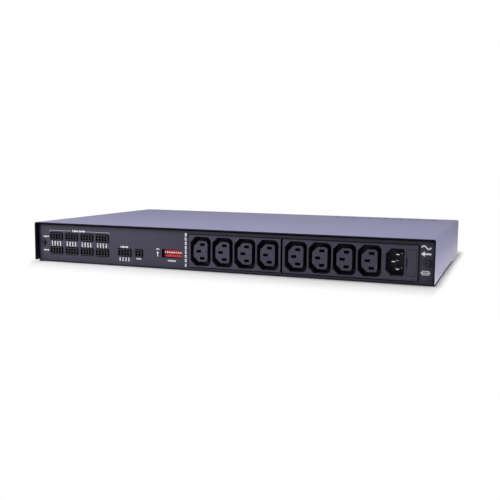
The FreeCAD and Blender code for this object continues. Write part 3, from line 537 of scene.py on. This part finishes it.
def panel_print():
    """Numbers and plain signs beside the sockets, in white, and the thin grey bracket over the headers."""
    marks = Print("panel_print", ink("ink_white", INK_WHITE, INK_WHITE_DEEP), PANEL_FACE)
    for pin in range(PIN_COUNT):
        aside = (pin - (PIN_COUNT - 1) / 2) * PIN_STEP
        for column, x in enumerate(COLUMN_X, start=1):
            marks.figures(f"{column}0{pin + 1}", x + aside, *ROW_MARKS, upright=True)
        marks.figures(f"50{pin + 1}", CONTROL_X + aside, *CONTROL_MARKS, upright=True)
    for row in FIGURES:
        marks.figures(*row)
    marks.arrow((ARROW_X, ARROW_TAIL), (ARROW_X, ARROW_TIP), width=0.8, barb=2.4, point=2.4)
    inlet_sign(marks, SIGN_X, INLET_SIGN)
    fuse_sign(marks, SIGN_X, FUSE_SIGN)
    marks.lay()
    bracket = Print("bracket_print", ink("ink_grey", INK_GREY, INK_GREY_DEEP), PANEL_FACE)
    for line in (BRACKET_LEFT, BRACKET_RIGHT):
        bracket.band(line, BRACKET_LINE)
    bracket.lay()


def inlet_sign(marks, x, z):
    """A wave for alternating current over an arrow that points to the inlet."""
    half_wave, swing, rise, line, steps = 4.4, 1.5, 3.4, 1.1, 24
    turns = [i / steps for i in range(steps + 1)]
    wave = [(x + half_wave * (2 * t - 1), z + rise + swing * math.sin(2 * math.pi * t)) for t in turns]
    marks.band(wave, line)
    half_arrow, fall = 4.6, 2.6
    marks.arrow((x + half_arrow, z - fall), (x - half_arrow, z - fall), width=1.5, barb=4.8, point=3.4)


def fuse_sign(marks, x, z):
    """The usual sign for a fuse: a box with a line through it."""
    half_w, half_h, line, end = 3.0, 1.6, 0.6, 4.6
    left, right, low, high = x - half_w, x + half_w, z - half_h, z + half_h
    marks.band(((left, low), (right, low), (right, high), (left, high)), line, closed=True)
    inner, outer = half_w - line / 2, half_w + line / 2
    for start, stop in ((-end, -outer), (-inner, inner), (outer, end)):
        marks.band(((x + start, z), (x + stop, z)), line)


def pin_shoulders(material):
    """The swaged shoulder at the right of each inlet pin's root, rounded in front."""
    mesh = bmesh.new()
    halfway = INLET_FLOOR - SHOULDER_SIZE[1] / 2
    for x, z in INLET_PINS:
        middle = Vector((x + SHOULDER_ASIDE, halfway, z))
        fitted = Matrix.Translation(middle) @ Matrix.Diagonal((*SHOULDER_SIZE, 1.0))
        made = bmesh.ops.create_cube(mesh, size=1.0, matrix=fitted)
        rim = {e for v in made["verts"] if v.co.y < halfway for e in v.link_edges}
        bmesh.ops.bevel(mesh, geom=list(rim), offset=SHOULDER_ROUND, segments=3, profile=0.5, affect="EDGES")
    data = bpy.data.meshes.new("pin_shoulders")
    mesh.to_mesh(data)
    mesh.free()
    data.transform(Matrix.Scale(MM, 4))
    add_piece("pin_shoulders", data, material)


def set_camera():
    """Camera of the photograph."""
    ahead = Vector((
        -math.sin(CAMERA_TURN) * math.cos(CAMERA_DOWN),
        math.cos(CAMERA_TURN) * math.cos(CAMERA_DOWN),
        -math.sin(CAMERA_DOWN),
    ))
    right = Vector((math.cos(CAMERA_TURN), math.sin(CAMERA_TURN), 0.0))
    up = right.cross(ahead)
    rolled_right = math.cos(CAMERA_ROLL) * right + math.sin(CAMERA_ROLL) * up
    rolled_up = math.cos(CAMERA_ROLL) * up - math.sin(CAMERA_ROLL) * right
    data = bpy.data.cameras.new("camera")
    data.sensor_width = SENSOR
    data.lens = CAMERA_LENS
    data.clip_start = CLIP_START
    camera = bpy.data.objects.new("camera", data)
    turn = Matrix((rolled_right, rolled_up, -ahead)).transposed().to_4x4()
    camera.matrix_world = Matrix.Translation(CAMERA_AT) @ turn
    bpy.context.scene.collection.objects.link(camera)
    bpy.context.scene.camera = camera


def soft_light(name, at, aim, size, power, colour, opening):
    """Softbox of a width and height that looks at a point; a grid can narrow its opening angle."""
    data = bpy.data.lights.new(name, "AREA")
    data.shape = "RECTANGLE"
    data.size, data.size_y = size
    data.energy = power
    data.color = colour
    data.spread = math.radians(opening)
    lamp = bpy.data.objects.new(name, data)
    lamp.location = at
    lamp.rotation_euler = (Vector(aim) - Vector(at)).to_track_quat("-Z", "Y").to_euler()
    bpy.context.scene.collection.objects.link(lamp)


def seen_directly(tree):
    """1 for rays that show the background itself: camera, mirror and glass rays."""
    path = tree.nodes.new("ShaderNodeLightPath")
    mirrored = math_node(tree, "MAXIMUM", path.outputs["Is Camera Ray"], path.outputs["Is Glossy Ray"])
    return math_node(tree, "MAXIMUM", mirrored, path.outputs["Is Transmission Ray"])


def set_world():
    """White where it is seen, an even pale light elsewhere."""
    world = bpy.data.worlds.new("studio")
    world.use_nodes = True
    tree = world.node_tree
    tree.nodes.clear()
    output = tree.nodes.new("ShaderNodeOutputWorld")
    plain = tree.nodes.new("ShaderNodeBackground")
    plain.inputs["Color"].default_value = rgba(WORLD_TINT)
    plain.inputs["Strength"].default_value = WORLD_LEVEL
    white = tree.nodes.new("ShaderNodeBackground")
    white.inputs["Color"].default_value = rgba(WHITE)
    mix = tree.nodes.new("ShaderNodeMixShader")
    tree.links.new(seen_directly(tree), mix.inputs["Fac"])
    tree.links.new(plain.outputs["Background"], mix.inputs[1])
    tree.links.new(white.outputs["Background"], mix.inputs[2])
    tree.links.new(mix.outputs["Shader"], output.inputs["Surface"])
    bpy.context.scene.world = world


def from_footprint(tree):
    """Distance over the floor from the footprint, counted larger to the sides and ahead of its left end."""
    axes = tree.nodes.new("ShaderNodeSeparateXYZ")
    tree.links.new(place(tree), axes.inputs["Vector"])
    ahead = math_node(tree, "SUBTRACT", -HALF_DEPTH * MM, axes.outputs["Y"])
    taper = math_node(tree, "MULTIPLY", math_node(tree, "MAXIMUM", ahead, 0.0), LEFT_TAPER)
    leftward = math_node(tree, "SUBTRACT", taper, axes.outputs["X"])
    across = math_node(tree, "MAXIMUM", axes.outputs["X"], leftward)
    along = math_node(tree, "ABSOLUTE", axes.outputs["Y"])
    away = []
    for reach, half, weight in ((across, HALF_WIDTH, SIDE_WEIGHT), (along, HALF_DEPTH, 1.0)):
        beyond = math_node(tree, "MAXIMUM", math_node(tree, "SUBTRACT", reach, half * MM), 0.0)
        away.append(math_node(tree, "MULTIPLY", beyond, weight))
    return length_of(tree, *away)


def floor_material():
    """Pale floor: takes the shadow close to the object and fades to plain white away from it."""
    material = bpy.data.materials.new("floor")
    material.use_nodes = True
    tree = material.node_tree
    tree.nodes.clear()
    output = tree.nodes.new("ShaderNodeOutputMaterial")
    matt = tree.nodes.new("ShaderNodeBsdfDiffuse")
    matt.inputs["Color"].default_value = rgba(FLOOR_PALE)
    glow = tree.nodes.new("ShaderNodeEmission")
    mix = tree.nodes.new("ShaderNodeMixShader")
    fade = tree.nodes.new("ShaderNodeMapRange")
    fade.interpolation_type = "SMOOTHSTEP"
    fade.inputs["From Min"].default_value = 0.0
    fade.inputs["From Max"].default_value = FLOOR_FADE
    fade.inputs["To Min"].default_value = WHITE_NEAR
    fade.inputs["To Max"].default_value = 1.0
    tree.links.new(from_footprint(tree), fade.inputs["Value"])
    share = math_node(tree, "MULTIPLY", fade.outputs["Result"], seen_directly(tree))
    tree.links.new(share, mix.inputs["Fac"])
    tree.links.new(matt.outputs["BSDF"], mix.inputs[1])
    tree.links.new(glow.outputs["Emission"], mix.inputs[2])
    tree.links.new(mix.outputs["Shader"], output.inputs["Surface"])
    return material


def set_floor():
    """Wide flat floor just under the rest face."""
    data = bpy.data.meshes.new("floor")
    corners = [(x * FLOOR_REACH, y * FLOOR_REACH, 0.0) for x, y in ((-1, -1), (1, -1), (1, 1), (-1, 1))]
    data.from_pydata(corners, [], [(0, 1, 2, 3)])
    data.materials.append(floor_material())
    floor = bpy.data.objects.new("floor", data)
    floor.location.z = -FLOOR_DROP
    bpy.context.scene.collection.objects.link(floor)


def set_studio():
    """Even world light and four softboxes: close above, ahead to the left, a low gridded one right and a
    small one high on the right.
    """
    set_world()
    for softbox in SOFTBOXES:
        soft_light(**softbox)
    set_floor()
    bpy.context.scene.view_settings.view_transform = "Standard"


finishes = slot_materials()
dress_nodes(finishes)
panel_print()
pin_shoulders(finishes["bright_pin"])
set_camera()
set_studio()
